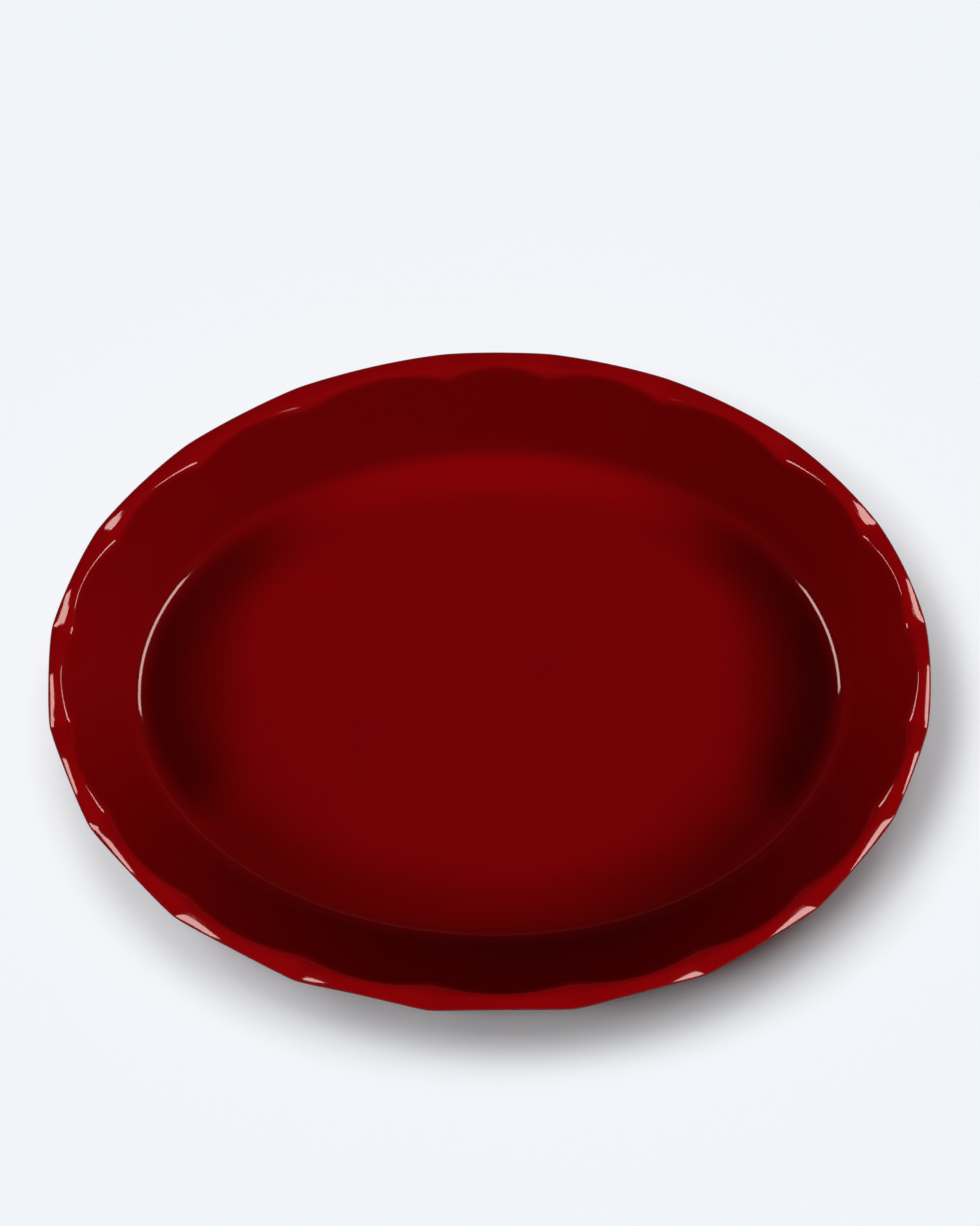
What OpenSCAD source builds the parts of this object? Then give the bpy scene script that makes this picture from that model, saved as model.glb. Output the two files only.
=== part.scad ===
// Oval baking dish with a ruffled rim. Millimetres, +Z up.
// X runs along the dish and Y across it. The origin is the middle of the plane that the foot stands on.

/* [Dish] */
// Length over the rim
dish_length = 330; // [300:1:400]
// Width over the rim
dish_width = 247; // [210:1:270]
// Height from the table to the tops of the ruffles
dish_height = 56; // [48:1:80]

/* [Wall and floor] */
// Thickness of the side wall, glaze included
wall_thickness = 5.5; // [4:0.1:8]
// Thickness of the floor, glaze included
floor_thickness = 6; // [4:0.1:9]
// Lean of the side wall away from upright, in degrees
wall_flare = 21; // [14:1:26]
// Radius between the floor and the wall, inside
inside_fillet = 8; // [5:0.5:12]
// Radius between the wall and the underside, outside
outside_fillet = 10; // [8:0.5:14]

/* [Ruffled rim] */
// Number of ruffles round the rim
ruffle_count = 20; // [12:1:22]
// How far the rim dips between two ruffles
ruffle_drop = 3; // [0:0.1:4]
// How far the rim reaches out between two ruffles
ruffle_reach = 1.1; // [0:0.1:2]
// Roundness of the dips, as a share of the wave
dip_round_share = 0.25; // [0.1:0.05:0.6]
// Distance from the rim's outer edge in to the line of the inside wall
rim_width = 6.7; // [6.3:0.1:8]
// Slope of the rim's top face, falling outward, in degrees
rim_slope = 8; // [2:1:14]
// Radius of the rim's inner edge
inner_roll = 1.8; // [1.2:0.1:2.2]
// Radius of the rim's outer edge
outer_roll = 3.5; // [2.8:0.1:4]
// Angle where the outer edge has curled under, in degrees from straight up
curl_end = 160; // [120:5:170]
// Depth of the neck below the curled edge
neck_drop = 0.7; // [0.4:0.1:1.5]
// Height of the rim piece above the side wall
rim_height = 13; // [12:0.5:16]

/* [Foot] */
// Height of the foot below the underside
foot_height = 2; // [1:0.1:4]
// Width of the foot ring
foot_width = 6; // [5:0.1:9]
// Distance from the outer fillet's end in to the foot ring
foot_inset = 0.6; // [0.2:0.1:2]
// Radius along both edges of the foot's face
foot_round = 0.8; // [0.4:0.1:0.9]

/* [Glaze] */
// Thickness of the glaze coat
glaze_thickness = 0.5; // [0.3:0.05:0.8]

/* [Hidden] */
$fn = 120;
// Overrun of every cut
cut = 1;
// Step that the foot's place is rounded to
foot_grid = 0.1;
// Share of the foot's width where the clay floor ends and the side wall begins
floor_edge_share = 0.5;
// Steps of each ruffle round the rim, and of its two rolled edges
ruffle_steps = 10;
inner_roll_steps = 2;
outer_roll_steps = 5;

// The oval has round ends centred on X and flatter sides centred on Y. With these shares of the half
// length less the half width, the four centres make 3-4-5 triangles and the arcs meet without a kink.
end_centre_share = 1.5;
side_centre_share = 2;
half_length = dish_length / 2;
half_width = dish_width / 2;
end_centre = end_centre_share * (half_length - half_width);
side_centre = side_centre_share * (half_length - half_width);
end_radius = half_length - end_centre;
side_radius = half_width + side_centre;
join_angle = atan2(side_centre_share, end_centre_share);
// How far the sides run on inside the ends, so that they are one solid
lap = 0.01;

// Heights
floor_top = foot_height + floor_thickness;
rim_seat = dish_height - rim_height;

// Distances outward from the oval, the same all round, of the straight wall's two faces at a height
function inside_line(z) = -rim_width - (dish_height - z) * tan(wall_flare);
function outside_line(z) = inside_line(z) + wall_thickness / cos(wall_flare);
function along_level(depth) = depth / cos(wall_flare);

// Centres of the two fillets at the wall's bottom
inside_centre_z = floor_top + inside_fillet;
inside_centre = inside_line(inside_centre_z) - along_level(inside_fillet);
outside_centre_z = foot_height + outside_fillet;
outside_centre = outside_line(outside_centre_z) - along_level(outside_fillet);

// Edges of the foot ring and the joint line that it covers
foot_outer = round((outside_centre - foot_inset) / foot_grid) * foot_grid;
foot_inner = foot_outer - foot_width;
floor_edge = foot_outer - foot_width * floor_edge_share;
// Where the sections of the wall start, further in than both fillets
section_start = min(inside_centre - inside_fillet, outside_centre - outside_fillet) - 2 * cut;

glaze_color = [0.46, 0.03, 0.05];
clay_color = [0.85, 0.79, 0.69];

// Round the oval

// A point on the line from a side's centre through an end's centre, moved out along X by some distance
function meeting_line(shift, along) =
    [end_centre + shift + end_centre_share * along, side_centre_share * along];
function across(p) = [-p.x, p.y];

// One stretch of the oval with a constant radius, turned about its own centre and cut to its outline from above
module stretch(radius, centre, outline) {
    $radius = radius;
    intersection() {
        translate(centre) rotate_extrude() children();
        translate([0, 0, -cut]) linear_extrude(dish_height + 2 * cut) polygon(outline);
    }
}

// Takes a half section round the oval. In the half section, X is the distance from the stretch's own centre,
// and $radius is how far the rim line is from it.
module round_the_oval() {
    end = meeting_line(0, dish_length);
    side = meeting_line(lap, dish_length);
    inner = meeting_line(lap, -lap);
    for (turn = [0, 180]) rotate(turn) {
        stretch(end_radius, [end_centre, 0], [[end_centre, 0], [end.x, -end.y], end]) children();
        stretch(side_radius, [0, -side_centre], [across(inner), inner, side, across(side)]) children();
    }
}

// Places a half section whose X is the distance outward from the rim line
module from_rim() {
    translate([$radius, 0]) children();
}

// A flat slab's half section, out to a distance from the rim line
module slab(edge, bottom, thickness) {
    translate([0, bottom]) square([$radius + edge, thickness]);
}

// The space inside the dish near the wall, up to a height, grown into the clay by some depth
module inside_space(depth, top) {
    wall_foot = [
        inside_centre + (inside_fillet + depth) * cos(wall_flare),
        inside_centre_z - (inside_fillet + depth) * sin(wall_flare)
    ];
    polygon([
        [section_start, floor_top - depth],
        [inside_centre, floor_top - depth],
        [inside_centre, inside_centre_z],
        wall_foot,
        [inside_line(top) + along_level(depth), top],
        [section_start, top]
    ]);
    translate([inside_centre, inside_centre_z]) circle(inside_fillet + depth);
}

// The dish as if solid near the wall, up to a height, shrunk into the clay by some depth
module outside_form(depth, top) {
    wall_foot = [
        outside_centre + (outside_fillet - depth) * cos(wall_flare),
        outside_centre_z - (outside_fillet - depth) * sin(wall_flare)
    ];
    polygon([
        [section_start, foot_height + depth],
        [outside_centre, foot_height + depth],
        [outside_centre, outside_centre_z],
        wall_foot,
        [outside_line(top) - along_level(depth), top],
        [section_start, top]
    ]);
    translate([outside_centre, outside_centre_z]) circle(outside_fillet - depth);
}

// What lies further in than a distance from the rim line
module inner_part(edge) {
    translate([section_start - cut, -cut]) square([edge - section_start + cut, dish_height]);
}

// The ruffled rim

// Both take an angle round the dish that counts each ruffle as equally long: 0 is the middle of a ruffle at +X.
// Height of the wave, 1 on a ruffle and 0 in a dip
function wave(t) =
    (sqrt(pow(cos(t * ruffle_count / 2), 2) + pow(dip_round_share, 2)) - dip_round_share)
        / (sqrt(1 + pow(dip_round_share, 2)) - dip_round_share);
// How far the edge reaches out
function reach(t) = ruffle_reach * (1 - cos(t * ruffle_count)) / 2;

function roll_points(centre, radius, from, to, steps) = [
    for (i = [0 : steps])
        let (angle = from + (to - from) * i / steps)
            centre + radius * [sin(angle), cos(angle)]
];

// Half section of the rim from the wall's inside face over the top to its outside face, set in by some depth
function rim_section(t, depth) =
    let (
        top = dish_height - ruffle_drop * (1 - wave(t)),
        tilt = [sin(rim_slope), cos(rim_slope)],
        inner_z = top - inner_roll,
        inner = [inside_line(inner_z) + along_level(inner_roll), inner_z],
        outer_x = reach(t) - outer_roll,
        outer_z = (inner * tilt + inner_roll - outer_roll - outer_x * tilt.x) / tilt.y,
        outer = [outer_x, outer_z],
        neck_z = outer_z - outer_roll - neck_drop
    )
    concat(
        [[inside_line(rim_seat) + along_level(depth), rim_seat]],
        roll_points(inner, inner_roll - depth, wall_flare - 90, rim_slope, inner_roll_steps),
        roll_points(outer, outer_roll - depth, rim_slope, curl_end, outer_roll_steps),
        [[outside_line(neck_z) - along_level(depth), neck_z]],
        [[outside_line(rim_seat) - along_level(depth), rim_seat]]
    );

// A point of the oval's section plane, placed round the dish
function placed(t, p) =
    let (
        normal = atan2(half_length * sin(t), half_width * cos(t)),
        at_end = abs(sin(normal)) <= sin(join_angle),
        centre = at_end ? [sign(cos(normal)) * end_centre, 0] : [0, -sign(sin(normal)) * side_centre],
        radius = (at_end ? end_radius : side_radius) + p.x
    )
    [centre.x + radius * cos(normal), centre.y + radius * sin(normal), p.y];

function reversed(list) = [for (i = [len(list) - 1 : -1 : 0]) list[i]];

// Joins closed sections that run round the dish into one solid
module ring_of(sections) {
    around = len(sections);
    size = len(sections[0]);
    polyhedron(
        points = [for (section = sections) each section],
        faces = [
            for (i = [0 : around - 1], j = [0 : size - 1])
                let (
                    next_i = (i + 1) % around,
                    next_j = (j + 1) % size,
                    a = i * size + j,
                    b = i * size + next_j,
                    c = next_i * size + next_j,
                    d = next_i * size + j
                )
                each [[a, b, c], [a, c, d]]
        ]
    );
}

rim_stations = [for (i = [0 : ruffle_count * ruffle_steps - 1]) 360 * i / (ruffle_count * ruffle_steps)];

// The nodes

// Fired clay floor, from the underside's glaze to the inside's
module floor() {
    color(clay_color) round_the_oval()
        slab(floor_edge, foot_height + glaze_thickness, floor_thickness - 2 * glaze_thickness);
}

// Fired clay wall with its inside and outside fillets, up to the rim's seat
module side_wall() {
    color(clay_color) round_the_oval() from_rim() difference() {
        outside_form(glaze_thickness, rim_seat);
        inside_space(glaze_thickness, rim_seat + cut);
        inner_part(floor_edge);
    }
}

// Fired clay rim, pressed into ruffles
module ruffled_rim() {
    color(clay_color) ring_of([
        for (t = rim_stations) [for (p = rim_section(t, glaze_thickness)) placed(t, p)]
    ]);
}

// Bare clay ring that the dish stands on, wiped clean of glaze
module foot_ring() {
    color(clay_color) round_the_oval() from_rim() {
        translate([foot_inner, foot_round]) square([foot_width, foot_height + glaze_thickness - foot_round]);
        translate([foot_inner + foot_round, 0]) square([foot_width - 2 * foot_round, foot_height]);
        for (edge = [foot_inner + foot_round, foot_outer - foot_round])
            translate([edge, foot_round]) circle(foot_round);
    }
}

// Glaze over the floor and up the inside of the wall
module inside_glaze() {
    color(glaze_color) round_the_oval() {
        slab(floor_edge, floor_top - glaze_thickness, glaze_thickness);
        from_rim() difference() {
            inside_space(glaze_thickness, rim_seat);
            inside_space(0, rim_seat + cut);
        }
    }
}

// Glaze over the ruffled rim
module rim_glaze() {
    color(glaze_color) ring_of([
        for (t = rim_stations) [
            for (p = concat(rim_section(t, 0), reversed(rim_section(t, glaze_thickness)))) placed(t, p)
        ]
    ]);
}

// Glaze down the outside of the wall to the foot
module outside_glaze() {
    color(glaze_color) round_the_oval() from_rim() difference() {
        outside_form(0, rim_seat);
        outside_form(glaze_thickness, rim_seat + cut);
        inner_part(foot_outer);
    }
}

// Glaze on the underside within the foot ring
module underside_glaze() {
    color(glaze_color) round_the_oval() slab(foot_inner, foot_height, glaze_thickness);
}

floor();
side_wall();
ruffled_rim();
foot_ring();
inside_glaze();
rim_glaze();
outside_glaze();
underside_glaze();
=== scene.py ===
# Looks of the oval baking dish with a ruffled rim. Sizes of the dish are in millimetres until finish_piece()
# turns them into metres. Lamps, table and camera are placed in metres.
import math

import bmesh
import bpy
import numpy as np
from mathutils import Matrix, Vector


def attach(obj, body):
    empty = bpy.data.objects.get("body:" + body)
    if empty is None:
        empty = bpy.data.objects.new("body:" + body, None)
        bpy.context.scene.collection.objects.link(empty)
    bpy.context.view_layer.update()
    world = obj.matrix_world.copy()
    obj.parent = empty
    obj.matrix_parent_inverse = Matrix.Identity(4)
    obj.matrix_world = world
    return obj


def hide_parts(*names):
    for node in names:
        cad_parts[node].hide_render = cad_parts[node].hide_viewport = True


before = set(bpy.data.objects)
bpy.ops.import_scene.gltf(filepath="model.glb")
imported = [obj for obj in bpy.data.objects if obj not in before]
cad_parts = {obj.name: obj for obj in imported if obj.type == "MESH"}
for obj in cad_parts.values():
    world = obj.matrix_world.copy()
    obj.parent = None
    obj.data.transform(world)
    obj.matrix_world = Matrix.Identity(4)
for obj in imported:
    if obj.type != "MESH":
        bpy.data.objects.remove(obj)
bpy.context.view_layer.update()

MM = 0.001

# Sizes that the part's source has too
HALF_LENGTH = 165.0
HALF_WIDTH = 123.5
HEIGHT = 56.0
WALL = 5.5
FLOOR = 6.0
OUTSIDE_RIM_WIDTH = 6.7
OUTSIDE_FLARE = math.radians(21)
OUTSIDE_FILLET = 10.0
RUFFLES = 20
CURL_END = math.radians(160)
NECK_DROP = 0.7
RIM_SEAT = 43.0
FOOT_HEIGHT = 2.0
FOOT_OUTER = -29.0
FOOT_INNER = -35.0
FOOT_ROUND = 0.8
GLAZE = 0.5
FLOOR_TOP = FOOT_HEIGHT + FLOOR
# Where the clay floor meets the clay side wall, further in than in the source, which has a smaller fillet
FLOOR_EDGE = -39.0

# Sizes of the inside and the rim, as the photo suggests them; how the rim curls under is guessed
INSIDE_FILLET = 12.0
# How far the corner of wall and floor lies in from the rim line, its change at the ends and on the far side
CORNER = 29.2
CORNER_ENDS = -1.8
CORNER_FAR = 1.8
DROP = 3.7
DROP_VARIES = 0.25
RIM_WIDTH = 5.5
RIM_WIDTH_ENDS = -0.3
RIM_WIDTH_FAR = -0.15
RIM_SLOPE = math.radians(7.5)
INNER_ROLL = 2.5
INNER_ROLL_DIP = 3.0
INNER_ROLL_POWER = 1.5
CROWN_WIDTH = 2.4
CROWN_WIDTH_DIP = 0.6
CROWN_WIDTH_DIP_ENDS = -0.8
EDGE_TILT = math.radians(19)
EDGE_TILT_DIP = math.radians(-2)
EDGE_ROLL = 1.0
UNDER_START = math.radians(75)
UNDER_ROLL = 2.6
# The short curve from the rim's curl back to the outside wall
NECK_RUN = 1.5
NECK_CLEAR = 0.5
NECK_HANDLE = 1.0
# How far the dips reach out past the rim line, less on the right and on the far side
REACH = 1.29
REACH_RIGHT = -0.18
REACH_FAR = -0.26
DIP_SHARPNESS = 0.12

# How the hand-made dish departs from an even oval

# Slight unevenness of the oval: waves round the dish, their height and their phase in degrees
UNEVEN = ((2, 0.2, 65), (3, 0.5, -163), (5, 0.3, 74))
# Where the dips between the ruffles are, in degrees round the oval from +X towards +Y
DIPS = (10, 28, 46, 66, 82, 96, 116, 134, 153, 171, 188, 206, 225, 244, 262, 281, 299, 317, 335, 352)

COLUMNS_PER_RUFFLE = 48
COLUMNS = RUFFLES * COLUMNS_PER_RUFFLE

# Round the oval: where each column of points is, and how far the ruffle is up and out there

ruffle = np.arange(COLUMNS) / COLUMNS_PER_RUFFLE
pitch = 360 / RUFFLES
# How far each dip lies past its even place
late = np.array(DIPS) - pitch * (np.arange(RUFFLES) + 0.5)


def between_dips(values, at):
    """A smooth closed curve through one value at each dip."""
    i = np.floor(at - 0.5).astype(int)
    f = at - 0.5 - i
    a, b, c, d = (values[(i + k) % RUFFLES] for k in (-1, 0, 1, 2))
    return b + 0.5 * f * (c - a + f * (2 * a - 5 * b + 4 * c - d + f * (3 * (b - c) + d - a)))


angle = np.radians(pitch * ruffle + between_dips(late, ruffle))
normal_angle = np.arctan2(HALF_LENGTH * np.sin(angle), HALF_WIDTH * np.cos(angle))
normal = np.stack([np.cos(normal_angle), np.sin(normal_angle)], 1)
uneven = sum(height * np.cos(waves * angle - math.radians(crest)) for waves, height, crest in UNEVEN)
rim_line = np.stack([HALF_LENGTH * np.cos(angle), HALF_WIDTH * np.sin(angle)], 1) + normal * uneven[:, None]

SEED = 7
rng = np.random.default_rng(SEED)
own_drop = between_dips(DROP + rng.uniform(-DROP_VARIES, DROP_VARIES, RUFFLES), ruffle)
own_reach = REACH + REACH_RIGHT * np.cos(angle) + REACH_FAR * np.sin(angle)

# 1 on the crests and 0 in the dips, which are sharper
wave = (np.sqrt(np.cos(math.pi * ruffle) ** 2 + DIP_SHARPNESS**2) - DIP_SHARPNESS) / (
    math.sqrt(1 + DIP_SHARPNESS**2) - DIP_SHARPNESS
)
top = HEIGHT - own_drop * (1 - wave)
reach = own_reach * (1 - wave)

# At the ends of the oval the rim is a little narrower, and on the far side the wall leans out more
ends = np.cos(normal_angle) ** 2
far = np.sin(normal_angle)
rim_width = RIM_WIDTH + RIM_WIDTH_ENDS * ends + RIM_WIDTH_FAR * far
corner_in = CORNER + CORNER_ENDS * ends + CORNER_FAR * far
flare = np.arctan((corner_in - rim_width) / (HEIGHT - FLOOR_TOP))


def ring(out, up):
    """One ring of points round the dish at a distance outward from the rim line and a height."""
    out = np.broadcast_to(out, COLUMNS)
    up = np.broadcast_to(up, COLUMNS)
    return np.column_stack([rim_line + normal * out[:, None], up])


# The section of the wall and rim

INSIDE_FILLET_STEPS = 26
OUTSIDE_FILLET_STEPS = 20
INNER_STEPS = 18
FACE_STEPS = 3
CROWN_STEPS = 12
EDGE_STEPS = 14
UNDER_STEPS = 10
NECK_STEPS = 8
WALL_STEPS = 12
FOOT_STEPS = 6
# Steps across the joins between the rim and the two walls
JOIN_STEPS = 5
OUTSIDE_JOIN_STEPS = 4
# Fewer steps where nothing is seen, on the clay and on the back of the glaze
HIDDEN_WALL_STEPS = 6
HIDDEN_GLAZE_RIM_STEPS = (6, 4, 5, 5)
HIDDEN_CLAY_RIM_STEPS = (8, 5, 6, 6)


def inside_line(up):
    """How far out the inside wall is at a height."""
    return -rim_width - (HEIGHT - up) * np.tan(flare)


def outside_line(up):
    """How far out the outside wall is at a height."""
    run = (HEIGHT - up) * math.tan(OUTSIDE_FLARE)
    return -OUTSIDE_RIM_WIDTH - run + WALL / math.cos(OUTSIDE_FLARE)


def level(depth):
    """How far a depth into the inside wall measures on the level."""
    return depth / np.cos(flare)


def outside_level(depth):
    """The same for the outside wall."""
    return depth / math.cos(OUTSIDE_FLARE)


def between(a, b, steps):
    """Points between two section points, without the first and with the last."""
    return [tuple(p + (q - p) * i / steps for p, q in zip(a, b)) for i in range(1, steps + 1)]


def arc(centre, radius, start, end, steps):
    """Angles are from straight up, outward."""
    return [
        (centre[0] + radius * np.sin(a), centre[1] + radius * np.cos(a))
        for a in np.linspace(start, end, steps + 1)
    ]


def curve(a, away, back, b, steps):
    """A cubic curve from a to b with two points that pull it, without a."""
    made = []
    for i in range(1, steps + 1):
        s = i / steps
        k = ((1 - s) ** 3, 3 * s * (1 - s) ** 2, 3 * s * s * (1 - s), s**3)
        made.append(tuple(sum(w * p[n] for w, p in zip(k, (a, away, back, b))) for n in (0, 1)))
    return made


INSIDE_CENTRE_UP = FLOOR_TOP + INSIDE_FILLET
INSIDE_CENTRE = inside_line(INSIDE_CENTRE_UP) - level(INSIDE_FILLET)
OUTSIDE_CENTRE_UP = FOOT_HEIGHT + OUTSIDE_FILLET
OUTSIDE_CENTRE = outside_line(OUTSIDE_CENTRE_UP) - outside_level(OUTSIDE_FILLET)


def inside_wall(depth, up, steps=WALL_STEPS):
    """From the floor through the fillet up to a height."""
    centre = (INSIDE_CENTRE, INSIDE_CENTRE_UP)
    made = arc(centre, INSIDE_FILLET + depth, math.pi, math.pi / 2 + flare, INSIDE_FILLET_STEPS)
    return made + between(made[-1], (inside_line(up) + level(depth), up), steps)


def outside_wall(depth, up, steps=WALL_STEPS):
    """From a height down through the fillet to the underside."""
    centre = (OUTSIDE_CENTRE, OUTSIDE_CENTRE_UP)
    top_angle = math.pi / 2 + OUTSIDE_FLARE
    fillet = arc(centre, OUTSIDE_FILLET - depth, top_angle, math.pi, OUTSIDE_FILLET_STEPS)
    start = (outside_line(up) - outside_level(depth), up)
    return [start, *between(start, fillet[0], steps), *fillet[1:]]


# The rim's top is an inner roll, a sloped face and a crown; then a tight edge curls under
inner_roll = INNER_ROLL + INNER_ROLL_DIP * (1 - wave) ** INNER_ROLL_POWER
inner_up = top - inner_roll
inner_out = inside_line(inner_up) + level(inner_roll)
edge_tilt = EDGE_TILT + EDGE_TILT_DIP * (1 - wave)
crown_width = CROWN_WIDTH + (CROWN_WIDTH_DIP + CROWN_WIDTH_DIP_ENDS * ends) * (1 - wave)
crown = crown_width / (np.sin(edge_tilt) - math.sin(RIM_SLOPE))
under_out = reach - UNDER_ROLL
edge_out = under_out + (UNDER_ROLL - EDGE_ROLL) * math.sin(UNDER_START)
crown_out = edge_out - (crown - EDGE_ROLL) * np.sin(edge_tilt)
tilt = (math.sin(RIM_SLOPE), math.cos(RIM_SLOPE))
crown_up = (inner_out * tilt[0] + inner_up * tilt[1] + inner_roll - crown - crown_out * tilt[0]) / tilt[1]
edge_up = crown_up + (crown - EDGE_ROLL) * np.cos(edge_tilt)
under_up = edge_up - (UNDER_ROLL - EDGE_ROLL) * math.cos(UNDER_START)
neck_up = np.maximum(under_up - UNDER_ROLL - NECK_DROP - NECK_RUN, RIM_SEAT + NECK_CLEAR)


def over_the_rim(depth, steps=(INNER_STEPS, CROWN_STEPS, EDGE_STEPS, UNDER_STEPS)):
    """From the inside wall over the rim to the outside wall."""
    inner_steps, crown_steps, edge_steps, under_steps = steps
    made = arc((inner_out, inner_up), inner_roll - depth, flare - math.pi / 2, RIM_SLOPE, inner_steps)
    roll = arc((crown_out, crown_up), crown - depth, RIM_SLOPE, edge_tilt, crown_steps)
    roll += arc((edge_out, edge_up), EDGE_ROLL - depth, edge_tilt, UNDER_START, edge_steps)[1:]
    roll += arc((under_out, under_up), UNDER_ROLL - depth, UNDER_START, CURL_END, under_steps)[1:]
    made += between(made[-1], roll[0], FACE_STEPS) + roll[1:]
    end = made[-1]
    wall = (outside_line(neck_up) - outside_level(depth), neck_up)
    away = (end[0] + NECK_HANDLE * math.cos(CURL_END), end[1] - NECK_HANDLE * math.sin(CURL_END))
    handle = (NECK_HANDLE * math.sin(OUTSIDE_FLARE), NECK_HANDLE * math.cos(OUTSIDE_FLARE))
    back = (wall[0] + handle[0], wall[1] + handle[1])
    return made + curve(end, away, back, wall, NECK_STEPS)


# Meshes


def smooth(share):
    """A soft step from 0 to 1."""
    share = np.clip(share, 0.0, 1.0)
    return share * share * (3 - 2 * share)


# A cap's rings get half as many points each, below this share of its size, down to this count
COARSE_BELOW = 0.5
COARSE_COUNT = 60
# No painted shade or painted sheen
NO_PAINTED_TONE = (0.0, 0.0, 0.0)


class Solid:
    """Collects rings of points into one closed mesh."""

    def __init__(self):
        self.points, self.faces, self.count, self.painted_tones = [], [], 0, []

    def add(self, points, painted_tone=NO_PAINTED_TONE):
        first = self.count
        self.points.append(points)
        self.painted_tones.append(np.broadcast_to(painted_tone, (len(points), 3)))
        self.count += len(points)
        return first

    def band(self, a, b, size):
        j = np.arange(size)
        k = (j + 1) % size
        self.faces += np.column_stack([a + j, a + k, b + k, b + j]).tolist()

    def half(self, a, b, size):
        """From a ring to one with half as many points."""
        for i in range(size // 2):
            p, q, r = a + 2 * i, a + 2 * i + 1, a + (2 * i + 2) % size
            s, t = b + i, b + (i + 1) % (size // 2)
            self.faces += [[p, q, s], [q, t, s], [q, r, t]]

    def cap(self, points, first, shares):
        """Closes a flat ring with ever smaller rings and a middle point."""
        middle = points.mean(0)
        size = len(points)
        for share in shares:
            smaller = middle + (points - middle) * share
            if share < COARSE_BELOW and size > COARSE_COUNT:
                smaller = smaller[:: COLUMNS // (size // 2)]
                here = self.add(smaller)
                self.half(first, here, size)
                size //= 2
            else:
                here = self.add(smaller[:: COLUMNS // size])
                self.band(first, here, size)
            first = here
        here = self.add(middle[None])
        self.faces += [[first + i, first + (i + 1) % size, here] for i in range(size)]


CAP_SHARES = (0.93, 0.8, 0.65, 0.5, 0.38, 0.28, 0.19, 0.11, 0.05)
# How far in from the last edge of its section a cap starts, except on top of the floor
CAP_INSET = 4


def finish_piece(name, solid, material, nodes, painted_tones=False, edge_material=None, edge_rings=()):
    """One piece, with the edge material on the faces that lie within the edge rings."""
    mesh = bpy.data.meshes.new(name)
    mesh.from_pydata((np.concatenate(solid.points) * MM).tolist(), [], solid.faces)
    # Painted shade and painted sheen of each point, kept as a colour attribute
    if painted_tones:
        colours = np.ones((solid.count, 4), np.float32)
        colours[:, :3] = np.concatenate(solid.painted_tones)
        attribute = mesh.color_attributes.new("painted_light", "FLOAT_COLOR", "POINT")
        attribute.data.foreach_set("color", colours.ravel())
    work = bmesh.new()
    work.from_mesh(mesh)
    bmesh.ops.recalc_face_normals(work, faces=work.faces)
    for face in work.faces:
        face.smooth = True
    work.to_mesh(mesh)
    work.free()
    mesh.materials.append(material)
    if edge_material:
        mesh.materials.append(edge_material)
        for polygon in mesh.polygons:
            polygon.material_index = int(all(v // COLUMNS in edge_rings for v in polygon.vertices))
    piece = bpy.data.objects.new(name, mesh)
    bpy.context.scene.collection.objects.link(piece)
    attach(piece, "root")
    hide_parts(*nodes)
    return piece


def loop_solid(section):
    """A section that goes right round its own outline."""
    solid = Solid()
    firsts = [solid.add(ring(*point)) for point in section]
    for a, b in zip(firsts, firsts[1:] + firsts[:1]):
        solid.band(a, b, COLUMNS)
    return solid


def disc_solid(section, painted_tones=None):
    """A section from near the middle, out and back to near the middle."""
    solid = Solid()
    rings = [ring(*point) for point in section]
    firsts = [solid.add(r, painted_tones[i] if painted_tones else NO_PAINTED_TONE) for i, r in enumerate(rings)]
    for a, b in zip(firsts, firsts[1:]):
        solid.band(a, b, COLUMNS)
    solid.cap(rings[0], firsts[0], CAP_SHARES)
    solid.cap(rings[-1], firsts[-1], CAP_SHARES)
    return solid


# Materials


NOISE_ROUGHNESS = 0.5


def new_material(name):
    material = bpy.data.materials.new(name)
    material.use_nodes = True
    return material, material.node_tree, material.node_tree.nodes["Principled BSDF"]


def node(tree, kind, **values):
    made = tree.nodes.new(kind)
    for key, value in values.items():
        if key in made.inputs.keys():
            made.inputs[key].default_value = value
        else:
            setattr(made, key, value)
    return made


def mixed(tree, share, a, b):
    """A colour between two, by a share socket; each may be a colour or a socket."""
    mix = tree.nodes.new("ShaderNodeMix")
    mix.data_type = "RGBA"
    tree.links.new(share, mix.inputs["Factor"])
    for socket, value in (("A", a), ("B", b)):
        target = next(s for s in mix.inputs if s.name == socket and s.type == "RGBA")
        if isinstance(value, tuple):
            target.default_value = (*value, 1)
        else:
            tree.links.new(value, target)
    return next(s for s in mix.outputs if s.type == "RGBA")


def ranged(tree, value, low, high, to_low=0.0, to_high=1.0):
    values = {"From Min": low, "From Max": high, "To Min": to_low, "To Max": to_high}
    made = node(tree, "ShaderNodeMapRange", **values)
    tree.links.new(value, made.inputs["Value"])
    return made.outputs["Result"]


def product(tree, a, b):
    made = node(tree, "ShaderNodeMath", operation="MULTIPLY")
    tree.links.new(a, made.inputs[0])
    tree.links.new(b, made.inputs[1])
    return made.outputs[0]


def noise(tree, place, scale, detail):
    made = node(tree, "ShaderNodeTexNoise", Scale=scale, Detail=detail, Roughness=NOISE_ROUGHNESS)
    tree.links.new(place, made.inputs["Vector"])
    return made.outputs["Fac"]


def bumped(tree, height, distance, strength=1.0, after=None):
    made = node(tree, "ShaderNodeBump", Strength=strength, Distance=distance)
    tree.links.new(height, made.inputs["Height"])
    if after:
        tree.links.new(after, made.inputs["Normal"])
    return made.outputs["Normal"]


RED = (0.187, 0.0007, 0.0016)
# How much of the red each tone of the glaze has
POOLED = (0.97, 1.03)
FINE = 0.5
# Painted shade where the rim's edge turns under
TURNED_SHADE = 0.35
# Painted shade in the corners and on the long walls
PAINTED_SHADE = 0.45
# Painted sheen on the rim and at the floor's far edge
PAINTED_SHEEN = 1.28
# How far the fine specks show at most
FINE_MOST = 0.06
GLOSSY_ROUGHNESS = (0.05, 0.09)
DULL_ROUGHNESS = (0.45, 0.55)
GLAZE_IOR = 1.5
SPECULAR_LEVEL = 0.5
GLINT_TINT = (1.0, 0.66, 0.62, 1)
# Heights of the two bumps, in metres
WAVE_HEIGHT = 0.00012
PEEL_HEIGHT = 0.000004
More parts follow.
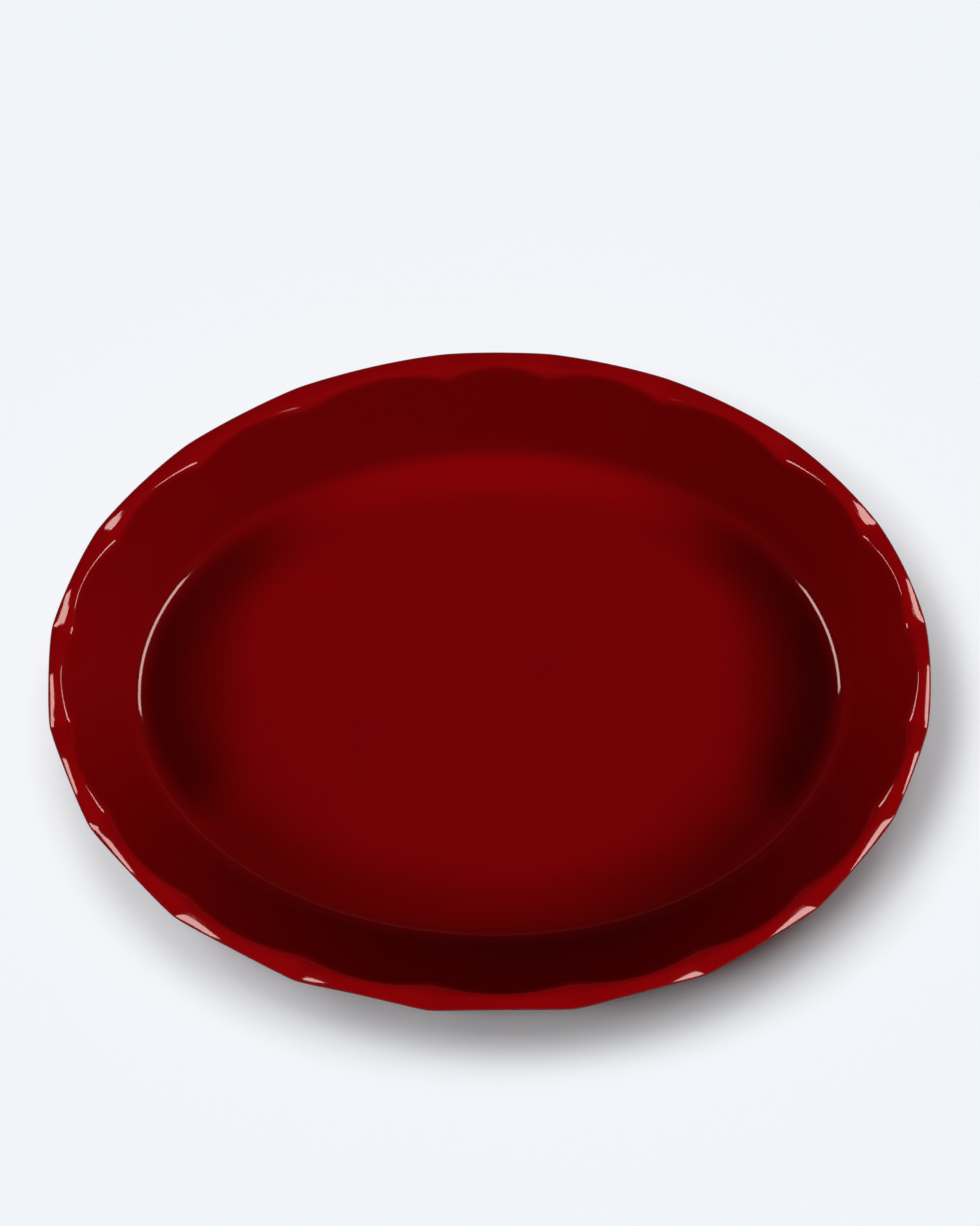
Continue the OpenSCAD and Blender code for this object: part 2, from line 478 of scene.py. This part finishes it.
# Scale and detail of each noise, and the part of its range that is used
POOLED_NOISE, POOLED_RANGE = (14, 3), (0.35, 0.65)
FINE_NOISE, FINE_RANGE = (900, 2), (0.3, 0.75)
GLOSS_NOISE, GLOSS_RANGE = (35, 3), (0.3, 0.7)
WAVE_NOISE = (40, 1)
PEEL_NOISE = (700, 1)


def red(share):
    return tuple(c * share for c in RED)


def glaze_material(name="red_glaze", edge=False):
    """The glaze, with painted shade and painted sheen from its tones; on the rim's tight outer edge it is
    less shiny.
    """
    material, tree, shader = new_material(name)
    place = node(tree, "ShaderNodeTexCoord").outputs["Object"]
    painted_tones = node(tree, "ShaderNodeAttribute", attribute_name="painted_light").outputs["Color"]
    parts = node(tree, "ShaderNodeSeparateColor")
    tree.links.new(painted_tones, parts.inputs[0])
    # Painted light by ring: shade where the rim turns under, shade in the corners and on the long walls, and
    # a sheen
    edge_shade, painted_shade, painted_sheen = parts.outputs
    pooled = ranged(tree, noise(tree, place, *POOLED_NOISE), *POOLED_RANGE)
    colour = mixed(tree, pooled, red(POOLED[0]), red(POOLED[1]))
    fine = ranged(tree, noise(tree, place, *FINE_NOISE), *FINE_RANGE, 0, FINE_MOST)
    colour = mixed(tree, fine, colour, red(FINE))
    # Painted shade, then painted sheen, over the glaze's own red
    colour = mixed(tree, edge_shade, colour, red(TURNED_SHADE))
    colour = mixed(tree, painted_shade, colour, red(PAINTED_SHADE))
    colour = mixed(tree, painted_sheen, colour, red(PAINTED_SHEEN))
    tree.links.new(colour, shader.inputs["Base Color"])
    rough = DULL_ROUGHNESS if edge else GLOSSY_ROUGHNESS
    gloss = ranged(tree, noise(tree, place, *GLOSS_NOISE), *GLOSS_RANGE, *rough)
    tree.links.new(gloss, shader.inputs["Roughness"])
    shader.inputs["IOR"].default_value = GLAZE_IOR
    shader.inputs["Specular IOR Level"].default_value = 0.0 if edge else SPECULAR_LEVEL
    shader.inputs["Specular Tint"].default_value = GLINT_TINT
    waves = bumped(tree, noise(tree, place, *WAVE_NOISE), WAVE_HEIGHT)
    peel = bumped(tree, noise(tree, place, *PEEL_NOISE), PEEL_HEIGHT, after=waves)
    tree.links.new(peel, shader.inputs["Normal"])
    return material


CLAY_TONES = ((0.52, 0.40, 0.28), (0.66, 0.54, 0.41))
SPECK = (0.20, 0.13, 0.08)
CLAY_ROUGHNESS = (0.82, 0.95)
GRAIN_HEIGHT = 0.00008
GRAIN_STRENGTH = 0.8
GROG_SCALE = 1100.0
SPECK_RANGE = (0.10, 0.22)
CLAY_NOISE, CLAY_RANGE = (60, 4), (0.3, 0.7)
RARE_NOISE, RARE_RANGE = (260, 1), (0.56, 0.64)
GRAIN_NOISE = (1500, 3)


def clay_material():
    material, tree, shader = new_material("bare_clay")
    place = node(tree, "ShaderNodeTexCoord").outputs["Object"]
    shade = ranged(tree, noise(tree, place, *CLAY_NOISE), *CLAY_RANGE)
    colour = mixed(tree, shade, *CLAY_TONES)
    grog = node(tree, "ShaderNodeTexVoronoi", Scale=GROG_SCALE)
    tree.links.new(place, grog.inputs["Vector"])
    specks = ranged(tree, grog.outputs["Distance"], *SPECK_RANGE, 1, 0)
    rare = ranged(tree, noise(tree, place, *RARE_NOISE), *RARE_RANGE)
    colour = mixed(tree, product(tree, specks, rare), colour, SPECK)
    tree.links.new(colour, shader.inputs["Base Color"])
    tree.links.new(ranged(tree, shade, 0, 1, *CLAY_ROUGHNESS), shader.inputs["Roughness"])
    grain = bumped(tree, noise(tree, place, *GRAIN_NOISE), GRAIN_HEIGHT, GRAIN_STRENGTH)
    tree.links.new(grain, shader.inputs["Normal"])
    return material


TABLE_TONES = ((0.868, 0.905, 0.937), (0.876, 0.913, 0.945))
TABLE_ROUGHNESS = 0.95
TABLE_NOISE, TABLE_RANGE = (1.5, 2), (0.3, 0.7)


def table_material():
    material, tree, shader = new_material("pale_table")
    place = node(tree, "ShaderNodeTexCoord").outputs["Object"]
    shade = ranged(tree, noise(tree, place, *TABLE_NOISE), *TABLE_RANGE)
    colour = mixed(tree, shade, *TABLE_TONES)
    tree.links.new(colour, shader.inputs["Base Color"])
    shader.inputs["Roughness"].default_value = TABLE_ROUGHNESS
    shader.inputs["Specular IOR Level"].default_value = 0.0
    return material


GLAZED = glaze_material()
GLAZED_EDGE = glaze_material("red_glaze_edge", edge=True)
CLAY = clay_material()

# The pieces


def painted_ring(edge_shade=0.0, painted_shade=0.0, rim=0.0):
    """One ring's painted shade under the edge, painted shade elsewhere and painted sheen; each a number or a
    value for each column.
    """
    return np.stack([np.broadcast_to(value, COLUMNS) for value in (edge_shade, painted_shade, rim)], 1)


# The floor's outer band, where the painted shade and the painted sheen come in, with its rings counted
# outward
BAND_WIDTH = 44
BAND_RINGS = 22
BAND_FULL = 20
SHEEN_START = 15
SHEEN_FADE = 6
# Where the painted shade in the corner starts and is full, from the oval's sides at 0 to its ends at 1,
# how much more of it the far side has, and how dark it is on the near side
CORNER_START = 0.2
CORNER_FULL = 0.6
CORNER_FAR_MORE = 0.2
CORNER_NEAR = 0.42
# The band of painted shade on the floor is widest at the ends
BAND_LATE = 0.9
BAND_LATE_MOST = 0.5
# How closely the painted sheen keeps to the far side
SHEEN_POWER = 14
# Up the wall, in rings from the floor
CORNER_FADE = 20
WALL_SHADE_START = 8
WALL_SHADE_FADE = 12
WALL_SHEEN_FADE = 18
# Over the wall's last rings the rim's painted sheen comes in
RIM_TONE_FADE = 2
# How dark the painted shade on the long walls is, and how that changes towards the far side
WALL_SHADE = 0.56
WALL_SHADE_FAR = -0.15
# Over the rim, in rings from its inner start
RIM_TONE_LEAD = 2
RIM_TONE_IN = 12
EDGE_START = INNER_STEPS + FACE_STEPS + CROWN_STEPS
# Over the rim, in rings from the start of its tight outer edge
RIM_TONE_END = 8
RIM_TONE_OUT = 6
TURNED_START = 6
TURNED_FADE_IN = 5
TURNED_END = 34
TURNED_FADE_OUT = 8
DULL_START = 8
DULL_END = 19
# The bead where the outside glaze ends above the bare foot: out from the foot's outer side, and height
BEAD = ((0.30, 1.96), (0.08, 2.02), (0.0, 2.16))


def floor_and_wall_painted_light(wall_rings):
    """Painted shade in the corner and on the long walls, and a painted sheen at the floor's far edge and at
    the rim.
    """
    near_side, far_side = np.maximum(-far, 0), np.maximum(far, 0)
    # Painted shade in the corner, mostly at the ends, and on the near side
    at_ends = smooth((ends - CORNER_START + CORNER_FAR_MORE * far) / (CORNER_FULL - CORNER_START))
    corner_shade = np.maximum(at_ends, CORNER_NEAR * near_side**2)
    band_start = np.minimum(BAND_LATE * (1 - ends), BAND_LATE_MOST)
    # Painted shade on the long walls
    wall_shade = (WALL_SHADE + WALL_SHADE_FAR * far) * (1 - ends)
    # Painted sheen at the floor's far edge
    far_sheen = far_side**SHEEN_POWER
    painted_tones = []
    for i in range(BAND_RINGS):
        painted_shade = smooth((i / BAND_FULL - band_start) / (1 - band_start)) * corner_shade
        painted_tones.append(painted_ring(painted_shade=painted_shade, rim=smooth((i - SHEEN_START) / SHEEN_FADE) * far_sheen))
    for i in range(wall_rings):
        up_the_wall = smooth((i - WALL_SHADE_START) / WALL_SHADE_FADE) * wall_shade
        painted_shade = np.maximum(smooth(1 - i / CORNER_FADE) * corner_shade, up_the_wall)
        # Painted sheen where the wall meets the rim, and at the floor's far edge
        at_rim = smooth((i - wall_rings + RIM_TONE_FADE) / RIM_TONE_FADE)
        at_floor = smooth(1 - i / WALL_SHEEN_FADE) * far_sheen
        painted_tones.append(painted_ring(painted_shade=painted_shade, rim=np.maximum(at_rim, at_floor)))
    return painted_tones


def rim_painted_light(rings):
    """A painted sheen on top of the rim, and painted shade where it turns under."""
    painted_tones = []
    for i in range(rings):
        # Painted shade where the rim's edge turns under
        turned_in = smooth((i - EDGE_START - TURNED_START) / TURNED_FADE_IN)
        turned_out = smooth((EDGE_START + TURNED_END - i) / TURNED_FADE_OUT)
        # Painted sheen on top of the rim
        on_top_in = smooth((i + RIM_TONE_LEAD) / RIM_TONE_IN)
        on_top_out = smooth((EDGE_START + RIM_TONE_END - i) / RIM_TONE_OUT)
        painted_tones.append(painted_ring(edge_shade=turned_in * turned_out, rim=on_top_in * on_top_out))
    return painted_tones


def glaze_coat():
    outer_over = over_the_rim(0.0)
    up = inside_wall(0.0, RIM_SEAT)
    up += between((inside_line(RIM_SEAT), RIM_SEAT), outer_over[0], JOIN_STEPS)
    wall_end = outside_wall(0.0, RIM_SEAT)
    over = outer_over[1:] + between(outer_over[-1], wall_end[0], OUTSIDE_JOIN_STEPS)
    across = [(INSIDE_CENTRE - BAND_WIDTH * (1 - i / BAND_RINGS), FLOOR_TOP) for i in range(BAND_RINGS)]
    outer = [*across, *up, *over, *wall_end[1:]]
    bead = [(FOOT_OUTER + run, height) for run, height in BEAD]
    back = [
        (FOOT_OUTER, FOOT_HEIGHT + GLAZE),
        *outside_wall(GLAZE, RIM_SEAT, HIDDEN_WALL_STEPS)[::-1],
        *over_the_rim(GLAZE, HIDDEN_GLAZE_RIM_STEPS)[::-1][1:],
        *inside_wall(GLAZE, RIM_SEAT, HIDDEN_WALL_STEPS)[::-1],
        (INSIDE_CENTRE - CAP_INSET, FLOOR_TOP - GLAZE),
    ]
    # Painted shade and painted sheen by ring; none on the outside wall, the bead and the back
    painted_tones = floor_and_wall_painted_light(len(up)) + rim_painted_light(len(over))
    painted_tones += [painted_ring()] * (len(wall_end) - 1 + len(bead) + len(back))
    edge_ring = len(across) + len(up) + EDGE_START
    return finish_piece(
        "glaze_coat",
        disc_solid(outer + bead + back, painted_tones),
        GLAZED,
        ("inside_glaze", "rim_glaze", "outside_glaze"),
        painted_tones=True,
        edge_material=GLAZED_EDGE,
        edge_rings=range(edge_ring + DULL_START, edge_ring + DULL_END),
    )


# How the glaze of the recess curves to the foot: in from the foot's inner side, down from its height
RECESS_EDGE = ((1.6, 0.0), (0.7, 0.0), (0.15, 0.15), (0.0, 0.75))
RECESS_EDGE_STEPS = 8


def underside_glaze_coat():
    top_up = FOOT_HEIGHT + GLAZE
    edge = [(FOOT_INNER - run, FOOT_HEIGHT - down) for run, down in RECESS_EDGE]
    section = [
        (FOOT_INNER - CAP_INSET, FOOT_HEIGHT),
        *curve(*edge, RECESS_EDGE_STEPS),
        (FOOT_INNER, top_up),
        (FOOT_INNER - CAP_INSET, top_up),
    ]
    return finish_piece("underside_glaze_coat", disc_solid(section), GLAZED, ("underside_glaze",))


def clay_floor():
    bottom, roof = FOOT_HEIGHT + GLAZE, FLOOR_TOP - GLAZE
    inner = FLOOR_EDGE - CAP_INSET
    section = [(inner, roof), (FLOOR_EDGE, roof), (FLOOR_EDGE, bottom), (inner, bottom)]
    return finish_piece("clay_floor", disc_solid(section), CLAY, ("floor",))


def clay_side_wall():
    section = [
        (FLOOR_EDGE, FLOOR_TOP - GLAZE),
        *inside_wall(GLAZE, RIM_SEAT),
        *outside_wall(GLAZE, RIM_SEAT),
        (FLOOR_EDGE, FOOT_HEIGHT + GLAZE),
    ]
    return finish_piece("clay_side_wall", loop_solid(section), CLAY, ("side_wall",))


def clay_ruffled_rim():
    section = [
        (inside_line(RIM_SEAT) + level(GLAZE), RIM_SEAT),
        *over_the_rim(GLAZE, HIDDEN_CLAY_RIM_STEPS),
        (outside_line(RIM_SEAT) - outside_level(GLAZE), RIM_SEAT),
    ]
    return finish_piece("clay_ruffled_rim", loop_solid(section), CLAY, ("ruffled_rim",))


def clay_foot_ring():
    roof = FOOT_HEIGHT + GLAZE
    inner = arc((FOOT_INNER + FOOT_ROUND, FOOT_ROUND), FOOT_ROUND, math.pi * 1.5, math.pi, FOOT_STEPS)
    outer = arc((FOOT_OUTER - FOOT_ROUND, FOOT_ROUND), FOOT_ROUND, math.pi, math.pi / 2, FOOT_STEPS)
    section = [(FOOT_INNER, roof), *inner, *outer, (FOOT_OUTER, roof)]
    return finish_piece("clay_foot_ring", loop_solid(section), CLAY, ("foot_ring",))


dish = [
    glaze_coat(),
    underside_glaze_coat(),
    clay_floor(),
    clay_side_wall(),
    clay_ruffled_rim(),
    clay_foot_ring(),
]

# The table

TABLE_HALF = 12.0

table_mesh = bpy.data.meshes.new("table")
corners = [(x * TABLE_HALF, y * TABLE_HALF, 0) for x, y in ((-1, -1), (1, -1), (1, 1), (-1, 1))]
table_mesh.from_pydata(corners, [], [(0, 1, 2, 3)])
table_mesh.materials.append(table_material())
table = bpy.data.objects.new("table", table_mesh)
bpy.context.scene.collection.objects.link(table)

# Light

# What the lamps aim at, and a place near the rim's height that the softboxes' directions are measured from.
# Directions are in degrees here.
MIDDLE = (0, 0, 0.03)
RIM_MIDDLE = (0, 0, 0.05)
FAR_LIGHT_DISTANCE = 2.0
SOFTBOX_DISTANCE = 1.0
SOFTBOX_RADIANCE = 12.5
# Each has an azimuth, an elevation, a width and a height
SOFTBOXES = {
    "left_softbox": (195, 45, 0.58, 0.18),
    "right_softbox": (-13, 42, 0.82, 0.19),
}
DISH_LIGHT_ELEVATION = 42
DISH_LIGHT_SPREAD = 24
# Each has an azimuth and a level
DISH_LIGHTS = {"left_light": (198, 0.56), "right_light": (-15, 0.82)}
# A softbox lights only rays whose glossy depth is below this, so it shows in first reflections alone
FIRST_REFLECTION = 1.5

dish_light = bpy.data.collections.new("lit_dish")
table_light = bpy.data.collections.new("lit_table")
for piece in dish:
    dish_light.objects.link(piece)
table_light.objects.link(table)


def towards(azimuth, elevation, distance, centre=RIM_MIDDLE):
    """A place seen from the dish in a direction: azimuth from +X towards +Y, in degrees."""
    a, e = math.radians(azimuth), math.radians(elevation)
    return (
        centre[0] + distance * math.cos(a) * math.cos(e),
        centre[1] + distance * math.sin(a) * math.cos(e),
        centre[2] + distance * math.sin(e),
    )


def placed_lamp(data, at, lights):
    made = bpy.data.objects.new(data.name, data)
    made.location = at
    made.rotation_mode = "QUATERNION"
    made.rotation_quaternion = (Vector(MIDDLE) - Vector(at)).to_track_quat("-Z", "Y")
    made.visible_camera = False
    made.light_linking.receiver_collection = lights
    bpy.context.scene.collection.objects.link(made)
    return made


def softbox(name, at, width, height, lights):
    """Gives the highlights alone; a reflection of a reflection doesn't show it."""
    data = bpy.data.lights.new(name, "AREA")
    data.shape = "RECTANGLE"
    data.size, data.size_y = width, height
    data.energy = SOFTBOX_RADIANCE * width * height * math.pi
    data.use_nodes = True
    lamp_tree = data.node_tree
    depth = node(lamp_tree, "ShaderNodeLightPath").outputs["Glossy Depth"]
    first = node(lamp_tree, "ShaderNodeMath", operation="LESS_THAN")
    lamp_tree.links.new(depth, first.inputs[0])
    first.inputs[1].default_value = FIRST_REFLECTION
    lamp_tree.links.new(first.outputs[0], lamp_tree.nodes["Emission"].inputs["Strength"])
    placed_lamp(data, at, lights).visible_diffuse = False


def far_light(name, azimuth, elevation, facing_level, spread, lights):
    """A far soft lamp; a white surface that faces it gets this level."""
    data = bpy.data.lights.new(name, "SUN")
    data.energy = facing_level * math.pi
    data.angle = math.radians(spread)
    at = towards(azimuth, elevation, FAR_LIGHT_DISTANCE, MIDDLE)
    placed_lamp(data, at, lights).visible_glossy = False


for name, (azimuth, elevation, width, height) in SOFTBOXES.items():
    softbox(name, towards(azimuth, elevation, SOFTBOX_DISTANCE), width, height, dish_light)
for name, (azimuth, facing_level) in DISH_LIGHTS.items():
    far_light(name, azimuth, DISH_LIGHT_ELEVATION, facing_level, DISH_LIGHT_SPREAD, dish_light)

# The table has its own light, the same all over, so that the background is even. Each lamp has an azimuth,
# an elevation, its share of the level and its spread. The shadow lies where the dish hides a lamp.
TABLE_LEVEL = 0.99
TABLE_LIGHTS = (
    (70, 70, 0.25, 20),
    (98, 66, 0.14, 18),
    (140, 64, 0.32, 18),
    (180, 68, 0.24, 16),
    (0, 90, 0.05, 10),
)
for azimuth, elevation, share, spread in TABLE_LIGHTS:
    facing_level = TABLE_LEVEL * share / math.sin(math.radians(elevation))
    far_light(f"table_light_{azimuth}", azimuth, elevation, facing_level, spread, table_light)

HORIZON = (0.05, 0.05, 0.05)
ZENITH = (0.008, 0.008, 0.008)
FAR_BAND = (0.15, 0.11, 0.13)
# What the camera itself sees past the table
PALE = (0.88, 0.92, 0.95)
# Where each part of the sky fades, by how steep a direction is, or how far it points to the far side
SKY_FADE = (0.02, 0.5)
BAND_TOP = (0.40, 0.32)
BAND_BOTTOM = (0.14, 0.20)
BAND_SIDE = (0.3, 0.8)

world = bpy.data.worlds.new("studio")
bpy.context.scene.world = world
world.use_nodes = True
tree = world.node_tree
sky = tree.nodes["Background"]
direction = node(tree, "ShaderNodeTexCoord").outputs["Generated"]
axes = node(tree, "ShaderNodeSeparateXYZ")
tree.links.new(direction, axes.inputs[0])
dim = mixed(tree, ranged(tree, axes.outputs["Z"], *SKY_FADE), HORIZON, ZENITH)
# A faint band low on the far side draws a thin line on the near fillet
below_top = ranged(tree, axes.outputs["Z"], *BAND_TOP)
band = product(tree, below_top, ranged(tree, axes.outputs["Y"], *BAND_SIDE))
band = product(tree, band, ranged(tree, axes.outputs["Z"], *BAND_BOTTOM))
dim = mixed(tree, band, dim, FAR_BAND)
behind = node(tree, "ShaderNodeLightPath").outputs["Is Camera Ray"]
tree.links.new(mixed(tree, behind, dim, PALE), sky.inputs["Color"])

# Camera

LOOK_AT = Vector((-0.00024, 0.0247, 0.055))
CAMERA_AZIMUTH = -90
CAMERA_ELEVATION = 84
CAMERA_DISTANCE = 1.2
# The focal length and the picture's height, in the photo's pixels
FOCAL_PIXELS = 3203
PHOTO_HEIGHT_PIXELS = 1226
SENSOR = 36
CLIP_START = 0.05
CLIP_END = 50

camera_data = bpy.data.cameras.new("camera")
camera_data.sensor_width = SENSOR
camera_data.lens = FOCAL_PIXELS / PHOTO_HEIGHT_PIXELS * SENSOR
camera_data.clip_start, camera_data.clip_end = CLIP_START, CLIP_END
camera = bpy.data.objects.new("camera", camera_data)
bpy.context.scene.collection.objects.link(camera)
bpy.context.scene.camera = camera
back = Vector(towards(CAMERA_AZIMUTH, CAMERA_ELEVATION, CAMERA_DISTANCE, (0, 0, 0)))
camera.location = LOOK_AT + back
camera.rotation_mode = "QUATERNION"
camera.rotation_quaternion = (-back).to_track_quat("-Z", "Y")
bpy.context.scene.view_settings.view_transform = "Standard"
